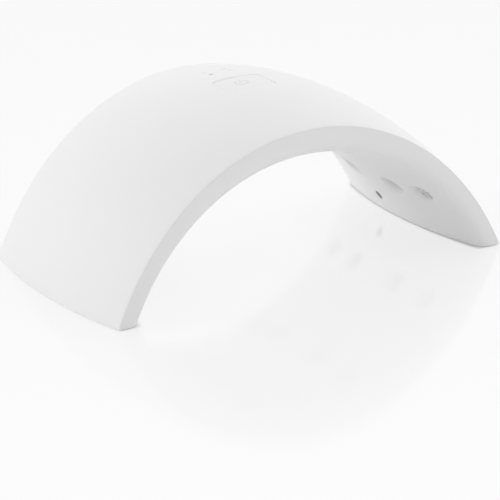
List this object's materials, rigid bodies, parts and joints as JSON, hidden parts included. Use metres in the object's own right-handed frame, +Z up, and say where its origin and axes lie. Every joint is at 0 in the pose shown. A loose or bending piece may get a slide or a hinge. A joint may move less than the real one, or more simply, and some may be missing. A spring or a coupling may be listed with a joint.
{
  "type": "uv nail lamp",
  "caption": "White arched ultraviolet nail lamp that stands over the hand, with one key and small indicators on its crown and domed lamps in cups on its hand side.",
  "frame": {"origin": "on the ground under the middle of the arch", "axes": "+Z up, +X to the right across the hand opening, +Y from the front face to the back"},
  "size_m": [0.2044, 0.112, 0.0782],
  "materials": {
    "white_shell": "satin moulded plastic",
    "white_liner": "semi-gloss moulded plastic",
    "white_key": "satin moulded plastic",
    "dark_plastic": "matt",
    "tinted_lens": "polished",
    "clear_lens": "polished",
    "board_green": "solder mask",
    "board_white": "white solder mask",
    "steel": "zinc plated",
    "rubber": "matt",
    "jacket": "matt"
  },
  "bodies": {
    "housing": {"outer_cover": "white_shell", "inner_cover": "white_liner", "case_screw_left_front": "steel", "foot_pad_left_front": "rubber", "case_screw_left_back": "steel", "foot_pad_left_back": "rubber", "case_screw_right_front": "steel", "foot_pad_right_front": "rubber", "case_screw_right_back": "steel", "foot_pad_right_back": "rubber", "crown_screw_front": "steel", "crown_screw_back": "steel", "switch_body": "dark_plastic", "indicator_pipe_left": "clear_lens", "indicator_light_left": "board_white", "indicator_pipe_right": "clear_lens", "indicator_light_right": "board_white", "control_board": "board_green", "timer_chip": "dark_plastic", "capacitor": "dark_plastic", "board_screw_left": "steel", "board_screw_right": "steel", "led_board_left_lower": "board_white", "uv_led_left_lower_1": "clear_lens", "uv_led_left_lower_2": "clear_lens", "uv_led_left_lower_3": "clear_lens", "uv_led_left_lower_4": "clear_lens", "led_board_screw_left_lower": "steel", "led_board_left_upper": "board_white", "uv_led_left_upper_1": "clear_lens", "uv_led_left_upper_2": "clear_lens", "uv_led_left_upper_3": "clear_lens", "uv_led_left_upper_4": "clear_lens", "led_board_screw_left_upper": "steel", "led_board_right_upper": "board_white", "uv_led_right_upper_1": "clear_lens", "uv_led_right_upper_2": "clear_lens", "uv_led_right_upper_3": "clear_lens", "uv_led_right_upper_4": "clear_lens", "led_board_screw_right_upper": "steel", "led_board_right_lower": "board_white", "uv_led_right_lower_1": "clear_lens", "uv_led_right_lower_2": "clear_lens", "uv_led_right_lower_3": "clear_lens", "uv_led_right_lower_4": "clear_lens", "led_board_screw_right_lower": "steel", "sensor_window_left": "tinted_lens", "sensor_module_left": "dark_plastic", "sensor_window_right": "tinted_lens", "sensor_module_right": "dark_plastic", "power_inlet": "dark_plastic", "inlet_pin": "steel", "strip_lead_left": "jacket", "sensor_lead_left": "jacket", "strip_lead_right": "jacket", "sensor_lead_right": "jacket", "inlet_lead": "jacket"},
    "button": {"timer_button": "white_key", "switch_plunger": "dark_plastic"}
  },
  "joints": [
    {"name": "button_press", "type": "slide", "parent": "housing", "child": "button", "axis": [0, 0, -1], "range_m": [0, 0.0008], "stiffness_N_per_m": 900, "springref_m": -0.0006}
  ]
}
